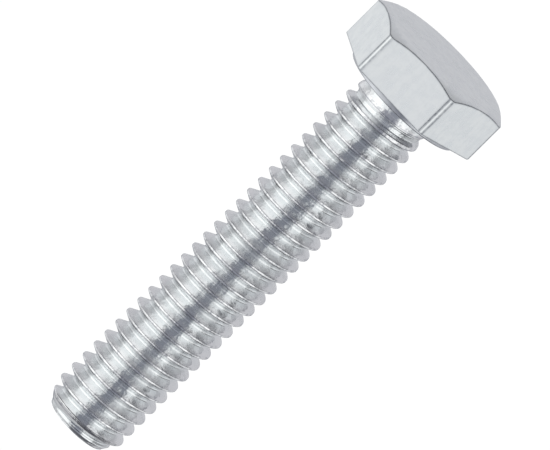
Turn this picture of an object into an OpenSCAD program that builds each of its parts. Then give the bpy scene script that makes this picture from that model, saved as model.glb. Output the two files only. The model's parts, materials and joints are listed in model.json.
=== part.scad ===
// Hex head screw threaded up to the head: metric coarse thread, right-hand.
// It is one steel forging. Each region of it is a solid of its own, and the solids meet face to face.
// The bearing face, under the head, lies in the plane z = 0 and is centred on the origin.
// The head is above that plane and the shank below it. Two wrench flats face along +Y and -Y.

/* [Head] */
// Width across the wrench flats
across_flats = 9.8; // [9.64:0.02:10]
// Diameter of the round blank, which is left standing at the six corners
across_corners = 11.1; // [10.9:0.01:11.2]
// Height of the whole head, washer face included
head_h = 3.76; // [3.6:0.02:4.2]
// Diameter of the flat on top of the head
top_flat_d = 9.7; // [8.5:0.05:9.7]
// Angle of the chamfer round the top, from the flat
chamfer_angle = 30; // [15:1:30]

/* [Washer face] */
// Diameter of the raised bearing face under the hexagon
washer_d = 8.76; // [8.4:0.02:9.4]
// How far the washer face stands out from the hexagon
washer_t = 0.42; // [0.2:0.01:0.6]
// Height of the tapered edge of the washer face
washer_edge = 0.1; // [0.05:0.01:0.15]

/* [Neck] */
// Diameter of the plain neck, which is that of the blank the thread is rolled on
neck_d = 5.2; // [5:0.02:5.3]
// Distance from the bearing face to the first trace of thread
neck_l = 0.6; // [0.45:0.05:1]
// Radius of the fillet between the neck and the bearing face
fillet_r = 0.4; // [0.25:0.01:0.4]

/* [Thread] */
// Diameter over the crests
thread_d = 5.82; // [5.8:0.01:6]
// Distance from one crest to the next
pitch = 1; // [0.8:0.05:1]
// Length of thread over which the crests rise from the neck to their full height
run_out = 1.6; // [1:0.1:3]
// Direction, about the axis, in which a crest would cross the bearing face
crest_angle = 207; // [0:1:359]
// Flat sides that stand for one turn of the thread
sides = 36; // [16:1:40]

/* [Point] */
// Length from the bearing face to the end of the point
shank_l = 29.7; // [12:0.1:40]
// Diameter of the flat end
point_d = 4.34; // [4:0.02:4.5]
// Angle between the point's chamfer and the axis
point_angle = 34; // [30:1:45]
// Length of the smooth end of the chamfer, below the last trace of thread
point_l = 0.25; // [0.1:0.05:0.3]

/* [Hidden] */
steel = [0.80, 0.82, 0.84];

// Basic profile of a metric thread: 60 degree ridges with a crest an eighth of the pitch wide
ridge_depth = 17 / 24 * pitch * cos(30);
crest_w = pitch / 8;
flank_h = ridge_depth * tan(30);
crest_r = thread_d / 2;
root_r = crest_r - ridge_depth;

// Turns by which the rough helix reaches past the stretch that is kept, at each end
spare = 2;
turns = ceil(shank_l / pitch) + 2 * spare;
// How far the envelope of the thread clears the full crests, along the axis
room = 0.5;

thread_end = shank_l - point_l;
neck_r = neck_d / 2;
// Where the fillet meets the bearing face
root_ring_r = neck_r + fillet_r;
// Radius of the point's chamfer at a height above its end
function chamfer_r(height) = point_d / 2 + height * tan(point_angle);
// Height above the point's end at which the chamfer reaches a radius
function chamfer_h(radius) = (radius - point_d / 2) / tan(point_angle);
// Slope of the cone on which the crests rise from the neck
rise = (crest_r - neck_r) / run_out;

// One pitch of the thread's outline, down from the middle of a crest: [drop, radius]
ridge = [
    [-crest_w / 2, crest_r],
    [crest_w / 2, crest_r],
    [crest_w / 2 + flank_h, root_r],
    [pitch - crest_w / 2 - flank_h, root_r],
];
corners = len(ridge);
last_row = turns * corners;

// A point of the helix: side counts round the axis, and row counts down through the corners of the outline
function helix_point(side, row) =
    let (corner = ridge[row % corners], angle = 360 * side / sides)
    [
        corner[1] * cos(angle),
        corner[1] * sin(angle),
        pitch * (spare + side / sides - floor(row / corners)) - corner[0],
    ];
function helix_index(side, row) = side * (last_row + 1) + row;
// After the last side the outline meets the first side one turn lower down
function next_index(side, row) =
    side < sides - 1 ? helix_index(side + 1, row) : helix_index(0, row - corners);

// Solid core and ridge of the thread, as a closed skin, longer than the shank at both ends
module rough_helix() {
    skin = [for (side = [0 : sides - 1]) for (row = [0 : last_row]) helix_point(side, row)];
    top_centre = len(skin);
    end_centre = top_centre + 1;
    ends = [[0, 0, pitch * (spare + 1)], [0, 0, pitch * (spare - turns - 1)]];
    // The outline steps down by one turn at the last side, so both ends of the skin have a step there
    top_rim = concat(
        [for (side = [0 : sides - 1]) helix_index(side, 0)],
        [for (row = [1 : corners]) helix_index(sides - 1, row)],
        [helix_index(0, 0)]
    );
    end_rim = concat(
        [for (row = [last_row - corners : last_row]) helix_index(0, row)],
        [for (side = [1 : sides - 1]) helix_index(side, last_row)],
        [helix_index(0, last_row - corners)]
    );
    walls = [
        for (side = [0 : sides - 1])
        for (row = [side < sides - 1 ? 0 : corners : last_row - 1])
        for (half = [0, 1])
        half == 0
            ? [helix_index(side, row), next_index(side, row), next_index(side, row + 1)]
            : [helix_index(side, row), next_index(side, row + 1), helix_index(side, row + 1)]
    ];
    top_fan = [for (i = [0 : len(top_rim) - 2]) [top_centre, top_rim[i + 1], top_rim[i]]];
    end_fan = [for (i = [0 : len(end_rim) - 2]) [end_centre, end_rim[i], end_rim[i + 1]]];
    polyhedron(points = concat(skin, ends), faces = concat(walls, top_fan, end_fan));
}

// Everything inside the cones on which the crests rise at the neck and fall at the point
module thread_envelope() {
    full = neck_l + run_out;
    rotate_extrude($fn = 96) polygon([
        [0, -neck_l],
        [neck_r, -neck_l],
        [crest_r + room * rise, -full - room],
        [crest_r + room * rise, chamfer_h(crest_r + room * rise) - shank_l],
        [chamfer_r(point_l), -thread_end],
        [0, -thread_end],
    ]);
}

// The blank, which still fills the first grooves under the neck
module run_out_core() {
    translate([0, 0, -neck_l - run_out])
        cylinder(h = run_out, r1 = root_r - 0.02, r2 = neck_r, $fn = 96);
}

module hex_head() {
    flat_r = top_flat_d / 2;
    side_z = washer_t;
    cone_drop = (across_corners / 2 - flat_r) * tan(chamfer_angle);
    color(steel) intersection() {
        translate([0, 0, side_z])
            cylinder(h = head_h - side_z, d = across_flats / cos(30), $fn = 6);
        rotate_extrude($fn = 128) polygon([
            [0, side_z],
            [across_corners / 2, side_z],
            [across_corners / 2, head_h - cone_drop],
            [flat_r, head_h],
            [0, head_h],
        ]);
    }
}

module washer_face() {
    color(steel) rotate_extrude($fn = 128) polygon([
        [root_ring_r, 0],
        [washer_d / 2 - washer_edge, 0],
        [washer_d / 2, washer_edge],
        [washer_d / 2, washer_t],
        [root_ring_r, washer_t],
    ]);
}

// Joins the shank to the hexagon through the middle of the washer face
module neck() {
    color(steel) rotate_extrude($fn = 96) difference() {
        polygon([
            [0, washer_t],
            [root_ring_r, washer_t],
            [root_ring_r, -fillet_r],
            [neck_r, -fillet_r],
            [neck_r, -neck_l],
            [0, -neck_l],
        ]);
        translate([root_ring_r, -fillet_r]) circle(r = fillet_r, $fn = 64);
    }
}

module threaded_shank() {
    color(steel) union() {
        intersection() {
            rotate([0, 0, crest_angle]) rough_helix();
            thread_envelope();
        }
        run_out_core();
    }
}

module chamfered_point() {
    color(steel) translate([0, 0, -shank_l])
        cylinder(h = point_l, r1 = point_d / 2, r2 = chamfer_r(point_l), $fn = 96);
}

hex_head();
washer_face();
neck();
threaded_shank();
chamfered_point();
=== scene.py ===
"""Looks of the hex bolt: a bright zinc-plated screw, threaded up to the head, in a plain light studio."""

import json
import math

import bmesh
import bpy
import numpy as np
from mathutils import Matrix, Vector


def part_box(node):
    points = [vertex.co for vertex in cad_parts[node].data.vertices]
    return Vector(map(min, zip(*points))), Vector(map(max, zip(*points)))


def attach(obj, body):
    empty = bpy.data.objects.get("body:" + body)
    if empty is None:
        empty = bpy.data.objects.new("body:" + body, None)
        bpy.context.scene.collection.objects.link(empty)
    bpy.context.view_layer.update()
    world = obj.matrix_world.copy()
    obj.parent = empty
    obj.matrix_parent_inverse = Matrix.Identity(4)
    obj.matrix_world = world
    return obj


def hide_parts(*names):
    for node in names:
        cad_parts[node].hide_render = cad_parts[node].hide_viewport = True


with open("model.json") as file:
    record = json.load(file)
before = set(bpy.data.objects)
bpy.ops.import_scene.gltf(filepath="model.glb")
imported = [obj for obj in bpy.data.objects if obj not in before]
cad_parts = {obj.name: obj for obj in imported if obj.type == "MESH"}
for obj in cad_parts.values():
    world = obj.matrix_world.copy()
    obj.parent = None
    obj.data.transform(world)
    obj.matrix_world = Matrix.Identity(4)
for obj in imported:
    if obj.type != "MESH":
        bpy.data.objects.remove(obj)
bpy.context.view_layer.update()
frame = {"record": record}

MM = 0.001
WELD = 0.0005 * MM

# Head, in metres
HEX_LOW, HEX_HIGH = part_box("hex_head")
HALF_FLATS = HEX_HIGH.y
CORNER_R = HEX_HIGH.x
# Half of a sixth of a turn, and half the angle of the round strip at a corner
HALF_SIXTH = math.radians(30)
STRIP = HALF_SIXTH - math.acos(HALF_FLATS / CORNER_R)
TOP_FLAT_R = 4.85 * MM
CHAMFER = math.radians(30)
HEAD_EDGE_R = 0.04 * MM
TOP_BLEND = 0.2 * MM
CREASE_BEVEL = 0.015 * MM

# Head's mesh. Columns cross half a flat or half a strip. Rows on the walls are counted from the nearer
# edge. Rows on the top go in from its edge to the first round row by shares of the way, then by radius.
FLAT_COLUMNS = 12
STRIP_COLUMNS = 5
WALL_STEPS = np.geomspace(0.03 * MM, 1.2 * MM, 7)
TOP_SHARES = (0.04, 0.1, 0.2, 0.35, 0.55, 0.75, 1)
ROUND_R = TOP_FLAT_R * 0.9
INNER_ROWS = (0.7 * TOP_FLAT_R, 0.35 * TOP_FLAT_R)

# Painted shade lines along the head's edges, and beside the creases at the corners
EDGE_LINE = 0.055 * MM
CREASE_LINE = 0.08 * MM
CREASE_INSET = 0.05 * MM
FOOT_LINE_STRENGTH = 0.9

# Washer face and neck
WASHER_LOW, WASHER_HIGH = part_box("washer_face")
WASHER_R = WASHER_HIGH.x
WASHER_EDGE = 0.1 * MM
WASHER_COLUMNS = 192
# Width of the painted shade line round the top of the ring, under the head
WASHER_LINE = 0.08 * MM
SHARP_ANGLE = math.radians(50)
NECK_LOW, NECK_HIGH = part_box("neck")
FILLET_TOP_R = NECK_HIGH.x
FILLET_R = 0.4 * MM
NECK_R = FILLET_TOP_R - FILLET_R

# How far a row of points is from the edge that it keeps crisp, on the neck, the bearing face and the
# side of the ring
NECK_ROW = 0.03 * MM
FACE_ROW = 0.02 * MM
SIDE_ROW = 0.05 * MM

# Thread
THREAD_MOUNT = next(m for m in frame["record"]["mounts"] if m["name"] == "thread")
CREST_R = THREAD_MOUNT["dims"]["r_mm"] * MM
PITCH = 1.0 * MM
CREST_ANGLE = math.radians(207)
FLANK_ANGLE = math.radians(30)
RIDGE_DEPTH = 17 / 24 * PITCH * math.cos(FLANK_ANGLE)
ROOT_R = CREST_R - RIDGE_DEPTH
CREST_W = PITCH / 8
CREST_EDGE_R = 0.035 * MM
RUN_OUT = 1.6 * MM
END_BLEND = 0.06 * MM
BLEND_GROWTH = 0.2

# Painted shade line under each crest: how far it is below the crest's middle, and its width
SHADE_LINE_DROP = CREST_W / 2 + 0.03 * MM
SHADE_LINE_WIDTH = 0.04 * MM

# Thread's mesh: lines of points down the shank, pitches to spare that its two ends cut off, and rows on
# a flank as shares of the way from crest to root
COLUMNS = 128
SPARE_PITCHES = 3
FLANK_SHARES = np.array([0.06, 0.15, 0.35, 0.65])[:, None]

# Point
POINT_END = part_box("chamfered_point")[0].z
POINT_R = 2.17 * MM
POINT_ANGLE = math.radians(34)
POINT_EDGE_R = 0.06 * MM
END_RINGS = (0.9 * POINT_R, 0.5 * POINT_R)

# Colours that more than one material uses: the dark grey of painted shade lines
PAINTED_SHADE_GREY = (0.2, 0.21, 0.24, 1)

# Camera, as in the photograph: degrees round the bolt, above its horizon and rolled about the line of sight
CAMERA_AZIMUTH = 6.68
CAMERA_ELEVATION = 12.98
CAMERA_ROLL = 45.17
CAMERA_DISTANCE = 0.961
CAMERA_LENS = 1000.0
CAMERA_AIM_Z = -11.47 * MM
CAMERA_AIM_SIDE = -0.1 * MM

# Floor
FLOOR_R = 1.5
FLOOR_DROP = 0.02 * MM
FLOOR_GLOW = 0.93

# Studio: what hangs round the bolt, painted one over the other on plain walls. Each is (azimuth, half
# width, softness, elevation, half height, softness, colour), in degrees. Softness is half the width of
# the fade at an edge. Azimuth 0 is towards the camera and grows to the camera's right.
WALLS = (0.62, 0.63, 0.645)
STUDIO = {
    "backdrop": (180, 55, 15, 25, 40, 12, (0.635, 0.64, 0.67)),
    "dark_ceiling": (0, 130, 10, 80, 60, 8, (0.03, 0.03, 0.035)),
    "table_shade": (45, 85, 20, -70, 45, 12, (0.13, 0.135, 0.15)),
    "rear_gap": (180, 18, 8, -36, 26, 5, (0.24, 0.25, 0.29)),
    "left_panel": (-132, 18, 12, -8, 18, 10, (0.88, 0.9, 0.92)),
    "right_panel": (108, 14, 9, -6, 18, 12, (0.88, 0.9, 0.92)),
    "left_softbox": (-54, 34, 18, -14, 45, 10, (1.35, 1.375, 1.37)),
    "right_softbox": (52, 23, 12, -2, 40, 10, (1.24, 1.26, 1.26)),
    "camera_gap": (9, 22, 13, -14, 46, 12, (0.31, 0.325, 0.375)),
    "front_panel": (-16, 10, 6, -13, 12, 7, (1.02, 1.035, 1.05)),
}


# ---------------------------------------------------------------- shape helpers

def smooth_min(a, b, blend):
    """The lower of two lengths, rounded over where they cross."""
    h = np.clip(0.5 + 0.5 * (b - a) / blend, 0, 1)
    return b * (1 - h) + a * h - blend * h * (1 - h)


def smooth_max(a, b, blend):
    return -smooth_min(-a, -b, blend)


def arc(centre, radius, start, end, steps):
    """Points on a circle arc, its ends included. Angles are in degrees."""
    angles = np.radians(np.linspace(start, end, steps + 1))
    return np.c_[centre[0] + radius * np.cos(angles), centre[1] + radius * np.sin(angles)]


def line_at(distance, width):
    """1 on a line, falling to 0 within about two widths of it."""
    return np.exp(-((distance / width) ** 2))


def ring_faces(first, second):
    """Quads between two closed rows of as many points each, given as lists of point numbers."""
    count = len(first)
    return [
        (first[i], first[(i + 1) % count], second[(i + 1) % count], second[i])
        for i in range(count)
    ]


def cap_faces(row, centre):
    """Triangles from a closed row of points to one point inside it."""
    count = len(row)
    return [(row[i], row[(i + 1) % count], centre) for i in range(count)]


def numbered_rows(count, columns):
    """Lists of point numbers for a count of rows that follow each other in the vertices."""
    return [list(range(k * columns, (k + 1) * columns)) for k in range(count)]


def mesh_object(name, vertices, faces, **attributes):
    """A closed, smooth piece on the bolt's one body. An attribute has one number or three a point."""
    mesh = bpy.data.meshes.new(name)
    mesh.from_pydata(vertices.tolist(), [], faces)
    for key, values in attributes.items():
        kind, field = ("FLOAT", "value") if values.ndim == 1 else ("FLOAT_VECTOR", "vector")
        layer = mesh.attributes.new(key, kind, "POINT")
        layer.data.foreach_set(field, values.astype(np.float32).ravel())
    shape = bmesh.new()
    shape.from_mesh(mesh)
    bmesh.ops.remove_doubles(shape, verts=shape.verts, dist=WELD)
    bmesh.ops.recalc_face_normals(shape, faces=shape.faces)
    shape.to_mesh(mesh)
    shape.free()
    mesh.shade_smooth()
    piece = bpy.data.objects.new(name, mesh)
    bpy.context.scene.collection.objects.link(piece)
    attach(piece, "root")
    return piece


# ---------------------------------------------------------------- shank

def thread_outline():
    """One pitch of the thread, down from the middle of a crest: rows of (drop, radius)."""
    half = CREST_W / 2
    tangent = CREST_EDGE_R * math.tan(FLANK_ANGLE)
    leading = arc((half - tangent, CREST_R - CREST_EDGE_R), CREST_EDGE_R, 90, 30, 4)
    root_r = (PITCH / 2 - half) / math.tan(FLANK_ANGLE) - RIDGE_DEPTH
    root = arc((PITCH / 2, ROOT_R + root_r), root_r, 210, 330, 8)
    trailing = leading[::-1] * [-1, 1] + [PITCH, 0]
    down = leading[-1] * (1 - FLANK_SHARES) + root[0] * FLANK_SHARES
    up = (trailing[0] * (1 - FLANK_SHARES) + root[-1] * FLANK_SHARES)[::-1]
    return np.vstack([[[0, CREST_R]], leading, down, root, up, trailing])


def shank_radius(z, outline_r):
    """The thread's radius, held inside the cones of the run-out and the point."""
    below_neck = NECK_LOW.z - z
    rise = NECK_R + below_neck * (CREST_R - NECK_R) / RUN_OUT
    core = NECK_R - below_neck * (NECK_R - ROOT_R) / RUN_OUT
    cone = POINT_R + (z - POINT_END) * math.tan(POINT_ANGLE)
    # The blend grows with the distance from the neck, so the thread starts exactly on the neck's edge
    blend = np.clip(below_neck * BLEND_GROWTH, WELD, END_BLEND)
    r = smooth_max(outline_r, core, blend)
    r = smooth_min(r, rise, blend)
    r = smooth_min(r, cone, END_BLEND)
    return np.where(below_neck <= 0, NECK_R, r)


def thread_grid():
    """Lines of points down the thread, each a step round the axis and a step up the helix from the last.

    Gives the points, their drops below the middle of a crest, the lines' angles, and how many rows a line
    and a pitch have.
    """
    outline = thread_outline()
    per_pitch = len(outline)
    top = NECK_LOW.z
    bottom = POINT_END + POINT_EDGE_R
    rows = (math.ceil((top - bottom) / PITCH) + SPARE_PITCHES) * per_pitch
    side = np.arange(COLUMNS)[:, None]
    row = np.arange(rows)[None, :]
    climb = PITCH * (side / COLUMNS - row // per_pitch)
    drop = np.broadcast_to(outline[row % per_pitch, 0], climb.shape)
    outline_r = np.broadcast_to(outline[row % per_pitch, 1], climb.shape)
    start_z = math.ceil(top / PITCH + 1) * PITCH
    z = np.clip(start_z + climb - drop, bottom, top)
    r = shank_radius(z, outline_r)
    angle = CREST_ANGLE + 2 * math.pi * side / COLUMNS
    points = np.stack([r * np.cos(angle), r * np.sin(angle), z], -1)
    return points.reshape(-1, 3), drop.ravel(), angle.ravel(), rows, per_pitch


def thread_faces(rows, per_pitch):
    """Quads between neighbouring lines. After a whole turn a line meets the rows of the pitch before."""
    faces = []
    for i in range(COLUMNS):
        shift = 0 if i < COLUMNS - 1 else per_pitch
        this = i * rows
        following = (i + 1) % COLUMNS * rows - shift
        faces += [
            (this + k, this + k + 1, following + k + 1, following + k)
            for k in range(shift, rows - 1)
        ]
    return faces


def thread_marks(drop, extra):
    """Where each point is on the profile, as a circle once round a pitch, and the painted shade line under
    a crest.

    The extra points, which are on the neck and the end face, count as root.
    """
    turn = drop / PITCH * 2 * math.pi
    profile = np.c_[np.cos(turn), np.sin(turn), np.zeros(turn.size)]
    # Painted shade: the dark line just under each crest
    painted_shade_line = line_at(drop - SHADE_LINE_DROP, SHADE_LINE_WIDTH)
    return np.vstack([profile, np.tile([-1, 0, 0], (extra, 1))]), np.r_[painted_shade_line, np.zeros(extra)]


def shank_chains():
    """(radius, height) of the rings that close the shank: the fillet, and the point's rim and end face."""
    fillet = arc((FILLET_TOP_R, -FILLET_R), FILLET_R, 180, 90, 10)
    above = np.vstack([[[NECK_R, NECK_LOW.z + NECK_ROW]], fillet, [[FILLET_TOP_R, NECK_HIGH.z]]])
    rim = arc((0, 0), POINT_EDGE_R, -math.degrees(POINT_ANGLE), -90, 5)
    rim += [POINT_R + POINT_EDGE_R * math.tan(POINT_ANGLE) - rim[0][0], POINT_END + POINT_EDGE_R]
    below = np.vstack([rim, [[radius, POINT_END] for radius in END_RINGS]])
    return above, below


def build_shank():
    thread, drop, angle, rows, per_pitch = thread_grid()
    faces = thread_faces(rows, per_pitch)
    circle = np.c_[np.cos(angle), np.sin(angle)]
    points = [thread]
    count = len(thread)
    for chain, end_row in zip(shank_chains(), (0, rows - 1)):
        previous = [i * rows + end_row for i in range(COLUMNS)]
        for radius, height in chain:
            points.append(np.c_[circle * radius, np.full(COLUMNS, height)])
            current = list(range(count, count + COLUMNS))
            faces += ring_faces(previous, current)
            previous = current
            count += COLUMNS
        points.append(np.array([[0, 0, chain[-1][1]]]))
        faces += cap_faces(previous, count)
        count += 1
    # The edge attribute carries the painted shade line under each crest
    profile, painted_shade_line = thread_marks(drop, count - len(thread))
    return mesh_object("rolled_shank", np.vstack(points), faces, profile=profile, edge=painted_shade_line)


# ---------------------------------------------------------------- head

def fine_at_ends(half, columns):
    """Places across a side, closest together near its ends, where they leave room for the bevel."""
    steps = np.geomspace(CREASE_BEVEL, half, columns)
    return np.r_[steps - half, (half - steps)[-2::-1]]


def hexagon_outline():
    """The hexagon from above: flats, and at each corner a narrow strip that is left of the round blank."""
    across_flat = fine_at_ends(math.sqrt(CORNER_R**2 - HALF_FLATS**2), FLAT_COLUMNS)
    across_strip = fine_at_ends(CORNER_R * STRIP, STRIP_COLUMNS)
    points = []
    for corner in range(6):
        facing = (2 * corner + 1) * HALF_SIXTH
        out = np.array([math.cos(facing), math.sin(facing)])
        along = np.array([-out[1], out[0]])
        points += [out * HALF_FLATS + along * t for t in across_flat]
        angles = facing + HALF_SIXTH + across_strip / CORNER_R
        points += list(CORNER_R * np.c_[np.cos(angles), np.sin(angles)])
    return np.array(points)


def head_edges(vertices):
    """1 on the head's edges and creases, falling to 0 beside them: the mask of painted shade lines."""
    x, y, z = vertices.T
    r = np.hypot(x, y)
    from_corner = np.abs((np.arctan2(y, x) + HALF_SIXTH) % (2 * HALF_SIXTH) - HALF_SIXTH)
    wall = np.minimum(CORNER_R, HALF_FLATS / np.cos(HALF_SIXTH - from_corner))
    inset = wall - r
    rim_z = HEX_HIGH.z - math.tan(CHAMFER) * (wall - TOP_FLAT_R)
    to_rim = np.hypot(inset, rim_z - z)
    to_crease = np.hypot(inset, r * (from_corner - STRIP) + CREASE_INSET)
    to_foot = np.hypot(inset, z - HEX_LOW.z)
    lines = np.maximum(line_at(to_rim, EDGE_LINE), line_at(to_crease, CREASE_LINE))
    return np.maximum(lines, FOOT_LINE_STRENGTH * line_at(to_foot, EDGE_LINE))


def top_height(radius):
    """Height of the head's top over the axis: flat, then down a shallow cone, with no edge between them."""
    over = smooth_max(radius - TOP_FLAT_R, np.zeros_like(radius), TOP_BLEND)
    return HEX_HIGH.z - math.tan(CHAMFER) * over


def head_rows(wall_r):
    """(radii, heights) of the head's rows: bottom edge, walls, top edge, and in across the top."""
    edge = HEAD_EDGE_R
    low = HEX_LOW.z
    level = np.ones_like(wall_r)
    rows = [(wall_r + x, level * (low + h)) for x, h in arc((-edge, edge), edge, -90, 0, 4)]
    rows += [(wall_r, level * (low + edge + step)) for step in WALL_STEPS]
    rim = top_height(wall_r) - edge * math.tan(math.radians(45) - CHAMFER / 2)
    rows += [(wall_r, rim - step) for step in WALL_STEPS[::-1]]
    rows += [(wall_r + x, rim + h) for x, h in arc((-edge, 0), edge, 0, 90 - math.degrees(CHAMFER), 5)]
    start = wall_r - edge * (1 - math.sin(CHAMFER))
    inward = [start * (1 - share) + ROUND_R * share for share in TOP_SHARES]
    rows += [(radii, top_height(radii)) for radii in inward]
    rows += [(level * radius, level * HEX_HIGH.z) for radius in INNER_ROWS]
    return rows


def build_head():
    outline = hexagon_outline()
    wall_r = np.hypot(outline[:, 0], outline[:, 1])
    points = [
        np.c_[outline * (radii / wall_r)[:, None], heights] for radii, heights in head_rows(wall_r)
    ]
    numbers = numbered_rows(len(points), len(outline))
    centre = len(points) * len(outline)
    vertices = np.vstack(points + [np.array([[0, 0, HEX_LOW.z], [0, 0, HEX_HIGH.z]])])
    faces = []
    for first, second in zip(numbers, numbers[1:]):
        faces += ring_faces(first, second)
    faces += cap_faces(numbers[0], centre)
    faces += cap_faces(numbers[-1], centre + 1)
    piece = mesh_object("hexagon_head", vertices, faces, edge=head_edges(vertices))
    even = piece.modifiers.new("even_flats", "WEIGHTED_NORMAL")
    even.weight = 100
    return piece


def build_washer():
    """The raised bearing face, a ring round the neck with its outer edge rolled over."""
    edge = WASHER_EDGE
    outline = np.vstack([
        [[FILLET_TOP_R, WASHER_HIGH.z]],
        [[FILLET_TOP_R, WASHER_LOW.z]],
        [[FILLET_TOP_R + FACE_ROW, WASHER_LOW.z]],
        arc((WASHER_R - edge, edge), edge, -90, 0, 6),
        [[WASHER_R, WASHER_HIGH.z - SIDE_ROW]],
        [[WASHER_R, WASHER_HIGH.z]],
    ])
    angles = 2 * math.pi * np.arange(WASHER_COLUMNS) / WASHER_COLUMNS
    circle = np.c_[np.cos(angles), np.sin(angles)]
    vertices = np.vstack([
        np.c_[circle * radius, np.full(WASHER_COLUMNS, height)] for radius, height in outline
    ])
    numbers = numbered_rows(len(outline), WASHER_COLUMNS)
    faces = []
    for first, second in zip(numbers, numbers[1:] + numbers[:1]):
        faces += ring_faces(first, second)
    # Painted shade: a dark line round the top of the ring, where it sits under the head
    painted_shade_under_head = line_at(WASHER_HIGH.z - vertices[:, 2], WASHER_LINE)
    piece = mesh_object("washer_ring", vertices, faces, edge=painted_shade_under_head)
    piece.data.set_sharp_from_angle(angle=SHARP_ANGLE)
    return piece


# ---------------------------------------------------------------- node helpers

class Nodes:
    """Short calls that add nodes to one tree. An input is a number, a tuple or another node's output."""

    def __init__(self, tree):
        self.tree = tree

    def add(self, kind, inputs=(), output=0, **settings):
        node = self.tree.nodes.new(kind)
        for key, value in settings.items():
            setattr(node, key, value)
        for key, value in dict(inputs).items():
            self.put(node.inputs[key], value)
        return node.outputs[output]

    def put(self, socket, value):
        if isinstance(value, bpy.types.NodeSocket):
            self.tree.links.new(value, socket)
        else:
            socket.default_value = value

    def math(self, operation, a, b=0.0, c=0.0):
        return self.add("ShaderNodeMath", {0: a, 1: b, 2: c}, operation=operation)

    def blend(self, a, share, b):
        """A share of one number and the rest of another."""
        return self.math("MULTIPLY_ADD", a, share, self.math("MULTIPLY", b, 1 - share))

    def vector(self, operation, a, b):
        return self.add("ShaderNodeVectorMath", {0: a, 1: b}, operation=operation)

    def scaled(self, vector, scale):
        return self.add("ShaderNodeVectorMath", {0: vector, "Scale": scale}, operation="SCALE")

    def noise(self, vector, size, detail=3.0):
        """Noise from 0 to 1 whose blotches are about the given size in metres."""
        inputs = {"Vector": vector, "Scale": 1 / size, "Detail": detail, "Roughness": 0.55}
        return self.add("ShaderNodeTexNoise", inputs, output="Fac")

    def ramp(self, value, low, high, out_low, out_high):
        """Eases from out_low to out_high while the value goes from low to high."""
        inputs = {"Value": value, 1: low, 2: high, 3: out_low, 4: out_high}
        return self.add("ShaderNodeMapRange", inputs, interpolation_type="SMOOTHSTEP")

    def mix(self, factor, a, b):
        return self.add("ShaderNodeMix", {"Factor": factor, 6: a, 7: b}, output=2, data_type="RGBA")

    def attribute(self, name, output):
        return self.add("ShaderNodeAttribute", output=output, attribute_name=name)

    def bump(self, height, strength, depth):
        return self.add("ShaderNodeBump", {"Height": height, "Strength": strength, "Distance": depth})


# ---------------------------------------------------------------- materials

def zinc_material(name):
    """A metal material, its shader, its node calls and the position on the bolt in metres."""
    material = bpy.data.materials.new(name)
    material.use_nodes = True
    nodes = Nodes(material.node_tree)
    shader = material.node_tree.nodes["Principled BSDF"]
    shader.inputs["Metallic"].default_value = 1.0
    place = nodes.add("ShaderNodeTexCoord", output="Object")
    return material, nodes, shader, place


def head_material():
    """Plated, slightly cloudy flats with faint upright draw marks, and painted shade lines along the edges.
    """
    material, nodes, shader, place = zinc_material("zinc_on_forged_head")
    cloud = nodes.noise(place, 0.7 * MM)
    drawn = nodes.noise(nodes.vector("MULTIPLY", place, (1, 1, 0.15)), 0.35 * MM)
    shade = nodes.blend(cloud, 0.6, drawn)
    light = nodes.ramp(shade, 0.38, 0.62, 0, 1)
    colour = nodes.mix(light, (0.765, 0.785, 0.795, 1), (0.86, 0.875, 0.875, 1))
    # Painted shade: dark lines along the head's edges, beside the corner creases and at the foot, their
    # strength varied by noise
    edge = nodes.attribute("edge", "Fac")
    painted_edge_shade = nodes.ramp(nodes.noise(place, 0.25 * MM), 0.3, 0.7, 0.6, 0.95)
    painted_edge_shade = nodes.math("MULTIPLY", edge, painted_edge_shade)
    nodes.put(shader.inputs["Base Color"], nodes.mix(painted_edge_shade, colour, PAINTED_SHADE_GREY))
    rough = nodes.ramp(shade, 0.3, 0.7, 0.26, 0.34)
    nodes.put(shader.inputs["Roughness"], nodes.math("MULTIPLY_ADD", edge, 0.15, rough))
    nodes.put(shader.inputs["Normal"], nodes.bump(drawn, 0.3, 0.003 * MM))
    return material


def thread_colour(nodes, place, height, rolled, cloud):
    """Greyer in the lines and clouds, with dark nicks on the crests and a painted shade line under them."""
    tint = nodes.mix(nodes.ramp(height, -1, 1, 0, 1), (0.795, 0.812, 0.818, 1), (0.85, 0.845, 0.85, 1))
    grey = nodes.ramp(nodes.blend(cloud, 0.5, rolled), 0.35, 0.65, 0.25, 0)
    colour = nodes.mix(grey, tint, (0.6, 0.62, 0.65, 1))
    nicks = nodes.ramp(nodes.noise(place, 0.3 * MM), 0.48, 0.62, 0, 0.65)
    nicks = nodes.math("MULTIPLY", nicks, nodes.ramp(height, 0.7, 0.95, 0, 1))
    colour = nodes.mix(nicks, colour, (0.42, 0.43, 0.46, 1))
    # Painted shade: a dark line under each crest, its strength varied by noise
    painted_shade_line = nodes.ramp(nodes.noise(place, 0.5 * MM), 0.35, 0.65, 0.3, 0.85)
    painted_shade_line = nodes.math("MULTIPLY", nodes.attribute("edge", "Fac"), painted_shade_line)
    return nodes.mix(painted_shade_line, colour, (0.22, 0.23, 0.27, 1))


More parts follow.
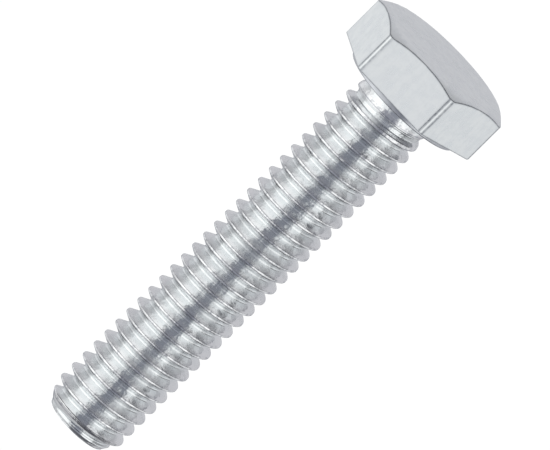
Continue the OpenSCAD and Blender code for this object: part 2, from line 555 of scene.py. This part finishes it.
def thread_material():
    """Rolled thread: fine lines along the helix, shallow waves, and matt and bright patches."""
    material, nodes, shader, place = zinc_material("zinc_on_rolled_thread")
    profile = nodes.attribute("profile", "Vector")
    # Changes slowly with place and fast across the profile, so that its noise is drawn out along the helix
    helix = nodes.vector("ADD", nodes.scaled(place, 0.08), nodes.scaled(profile, 0.16 * MM))
    rolled = nodes.noise(helix, 0.04 * MM)
    cloud = nodes.noise(place, 1.0 * MM)
    grain = nodes.noise(place, 0.12 * MM, detail=2.0)
    # 1 on the middle of a crest and -1 at a root
    height = nodes.add("ShaderNodeSeparateXYZ", {0: profile})
    nodes.put(shader.inputs["Base Color"], thread_colour(nodes, place, height, rolled, cloud))
    patch = nodes.blend(nodes.noise(place, 1.5 * MM), 0.7, rolled)
    nodes.put(shader.inputs["Roughness"], nodes.ramp(patch, 0.42, 0.6, 0.12, 0.34))
    relief = nodes.math("MULTIPLY_ADD", rolled, 0.03, nodes.math("MULTIPLY_ADD", grain, 0.02, cloud))
    nodes.put(shader.inputs["Normal"], nodes.bump(relief, 1.0, 0.08 * MM))
    return material


def washer_material():
    """Duller, turned plating with fine rings on the bearing face, darker than the head's as painted shade
    under it.
    """
    material, nodes, shader, place = zinc_material("zinc_on_bearing_face")
    flat = nodes.vector("MULTIPLY", place, (1, 1, 0))
    out = nodes.add("ShaderNodeVectorMath", {0: flat}, output="Value", operation="LENGTH")
    rings = nodes.noise(nodes.add("ShaderNodeCombineXYZ", {"X": out}), 0.05 * MM)
    cloud = nodes.noise(place, 0.6 * MM)
    # Painted shade: a darker grey than the head's plating, for the ring tucked under the head
    colour = nodes.mix(nodes.ramp(cloud, 0.35, 0.65, 0, 1), (0.52, 0.53, 0.56, 1), (0.62, 0.63, 0.66, 1))
    # Painted shade: the dark line where the ring meets the head
    edge = nodes.math("MULTIPLY", nodes.attribute("edge", "Fac"), 0.7)
    nodes.put(shader.inputs["Base Color"], nodes.mix(edge, colour, PAINTED_SHADE_GREY))
    nodes.put(shader.inputs["Roughness"], nodes.ramp(cloud, 0.3, 0.7, 0.3, 0.4))
    nodes.put(shader.inputs["Normal"], nodes.bump(rings, 0.4, 0.006 * MM))
    return material


def floor_material():
    """A white table top that glows, so shadows on it stay faint, and that is see-through from below."""
    material = bpy.data.materials.new("white_table")
    material.use_nodes = True
    nodes = Nodes(material.node_tree)
    shader = material.node_tree.nodes["Principled BSDF"]
    shader.inputs["Base Color"].default_value = (0.3, 0.3, 0.3, 1)
    shader.inputs["Roughness"].default_value = 1.0
    shader.inputs["Specular IOR Level"].default_value = 0.0
    shader.inputs["Emission Color"].default_value = (1, 1, 1, 1)
    shader.inputs["Emission Strength"].default_value = FLOOR_GLOW
    under = nodes.add("ShaderNodeNewGeometry", output="Backfacing")
    clear = nodes.add("ShaderNodeBsdfTransparent")
    surface = nodes.add("ShaderNodeMixShader", {0: under, 1: shader.outputs[0], 2: clear})
    nodes.put(material.node_tree.nodes["Material Output"].inputs["Surface"], surface)
    return material


# ---------------------------------------------------------------- studio

def camera_axes():
    """Unit vectors of the unrolled camera: to its right, up, and back from the bolt to it."""
    azimuth = math.radians(CAMERA_AZIMUTH)
    elevation = math.radians(CAMERA_ELEVATION)
    back = Vector((
        math.sin(azimuth) * math.cos(elevation),
        -math.cos(azimuth) * math.cos(elevation),
        math.sin(elevation),
    ))
    right = Vector((math.cos(azimuth), math.sin(azimuth), 0))
    return right, back.cross(right), back


def add_camera():
    right, up, back = camera_axes()
    data = bpy.data.cameras.new("photo_camera")
    data.lens = CAMERA_LENS
    data.sensor_width = 36
    data.clip_start = 0.1
    data.clip_end = 10
    camera = bpy.data.objects.new("photo_camera", data)
    bpy.context.scene.collection.objects.link(camera)
    roll = math.radians(CAMERA_ROLL)
    rolled_right = right * math.cos(roll) + up * math.sin(roll)
    rolled_up = up * math.cos(roll) - right * math.sin(roll)
    turn = Matrix((rolled_right, rolled_up, back)).transposed()
    aim = Vector((0, 0, CAMERA_AIM_Z)) + right * CAMERA_AIM_SIDE
    camera.matrix_world = Matrix.Translation(aim + back * CAMERA_DISTANCE) @ turn.to_4x4()
    bpy.context.scene.camera = camera


def card_window(nodes, position, middle, half, soft, wraps):
    """1 within a stretch of an angle and 0 outside it, with soft ends, for a position in radians."""
    away = nodes.math("SUBTRACT", position, math.radians(middle))
    if wraps:
        away = nodes.math("WRAP", away, math.pi, -math.pi)
    near = math.radians(half - soft)
    far = math.radians(half + soft)
    return nodes.ramp(nodes.math("ABSOLUTE", away), near, far, 1, 0)


def add_studio():
    """Soft boxes and shades painted on the world, seen in the plating. The camera sees plain white."""
    world = bpy.data.worlds.new("studio")
    world.use_nodes = True
    bpy.context.scene.world = world
    nodes = Nodes(world.node_tree)
    right, _, back = camera_axes()
    ahead = Vector((back.x, back.y, 0)).normalized()
    towards = nodes.add("ShaderNodeTexCoord", output="Generated")

    def part(direction):
        inputs = {0: towards, 1: direction}
        return nodes.add("ShaderNodeVectorMath", inputs, output="Value", operation="DOT_PRODUCT")

    azimuth = nodes.math("ARCTAN2", part(right), part(ahead))
    elevation = nodes.math("ARCSINE", part((0, 0, 1)))
    light = (*WALLS, 1)
    for middle, width, side_soft, level, height, level_soft, colour in STUDIO.values():
        across = card_window(nodes, azimuth, middle, width, side_soft, wraps=True)
        upright = card_window(nodes, elevation, level, height, level_soft, wraps=False)
        light = nodes.mix(nodes.math("MULTIPLY", across, upright), light, (*colour, 1))
    seen = nodes.add("ShaderNodeLightPath", output="Is Camera Ray")
    background = world.node_tree.nodes["Background"]
    nodes.put(background.inputs["Color"], nodes.mix(seen, light, (1, 1, 1, 1)))


def add_floor():
    place = (0, 0, POINT_END - FLOOR_DROP)
    bpy.ops.mesh.primitive_circle_add(vertices=96, radius=FLOOR_R, fill_type="NGON", location=place)
    floor = bpy.context.object
    floor.name = "table_top"
    floor.data.materials.append(floor_material())
    floor.visible_glossy = False
    floor.visible_diffuse = False


shank = build_shank()
head = build_head()
washer = build_washer()
shank.data.materials.append(thread_material())
head.data.materials.append(head_material())
washer.data.materials.append(washer_material())
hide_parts("neck", "threaded_shank", "chamfered_point")
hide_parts("hex_head")
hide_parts("washer_face")
add_camera()
add_studio()
add_floor()
bpy.context.scene.view_settings.view_transform = "Standard"
